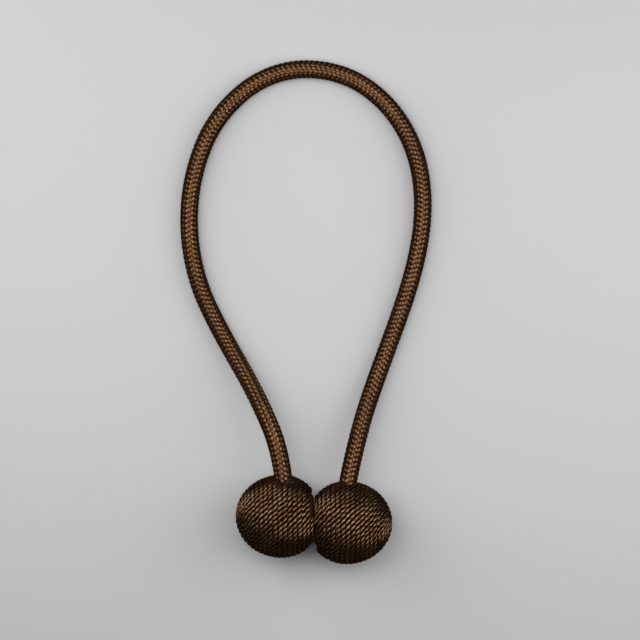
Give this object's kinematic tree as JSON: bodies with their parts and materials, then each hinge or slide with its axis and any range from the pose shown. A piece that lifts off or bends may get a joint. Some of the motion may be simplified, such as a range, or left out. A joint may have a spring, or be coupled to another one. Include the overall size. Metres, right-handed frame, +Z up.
{
  "type": "magnetic curtain tieback",
  "caption": "Braided rope loop whose ends are seated in cord-wound balls with flat magnetic faces that snap together to hold back a curtain.",
  "frame": {"origin": "centre of the underside of the pair of balls, on the surface that the tieback lies on", "axes": "+X along the pair of balls from left to right, +Y from the balls towards the far end of the loop, +Z up"},
  "size_m": [0.103, 0.205, 0.033],
  "materials": {
    "wound_cord": "silky twisted cord, dark brown with golden brown highlights",
    "braided_yarn": "silky braided yarn, near-black brown with warm brown highlights"
  },
  "bodies": {
    "root": {"wound_ball_left": "wound_cord", "wound_ball_right": "wound_cord", "braided_rope": "braided_yarn"}
  },
  "joints": []
}
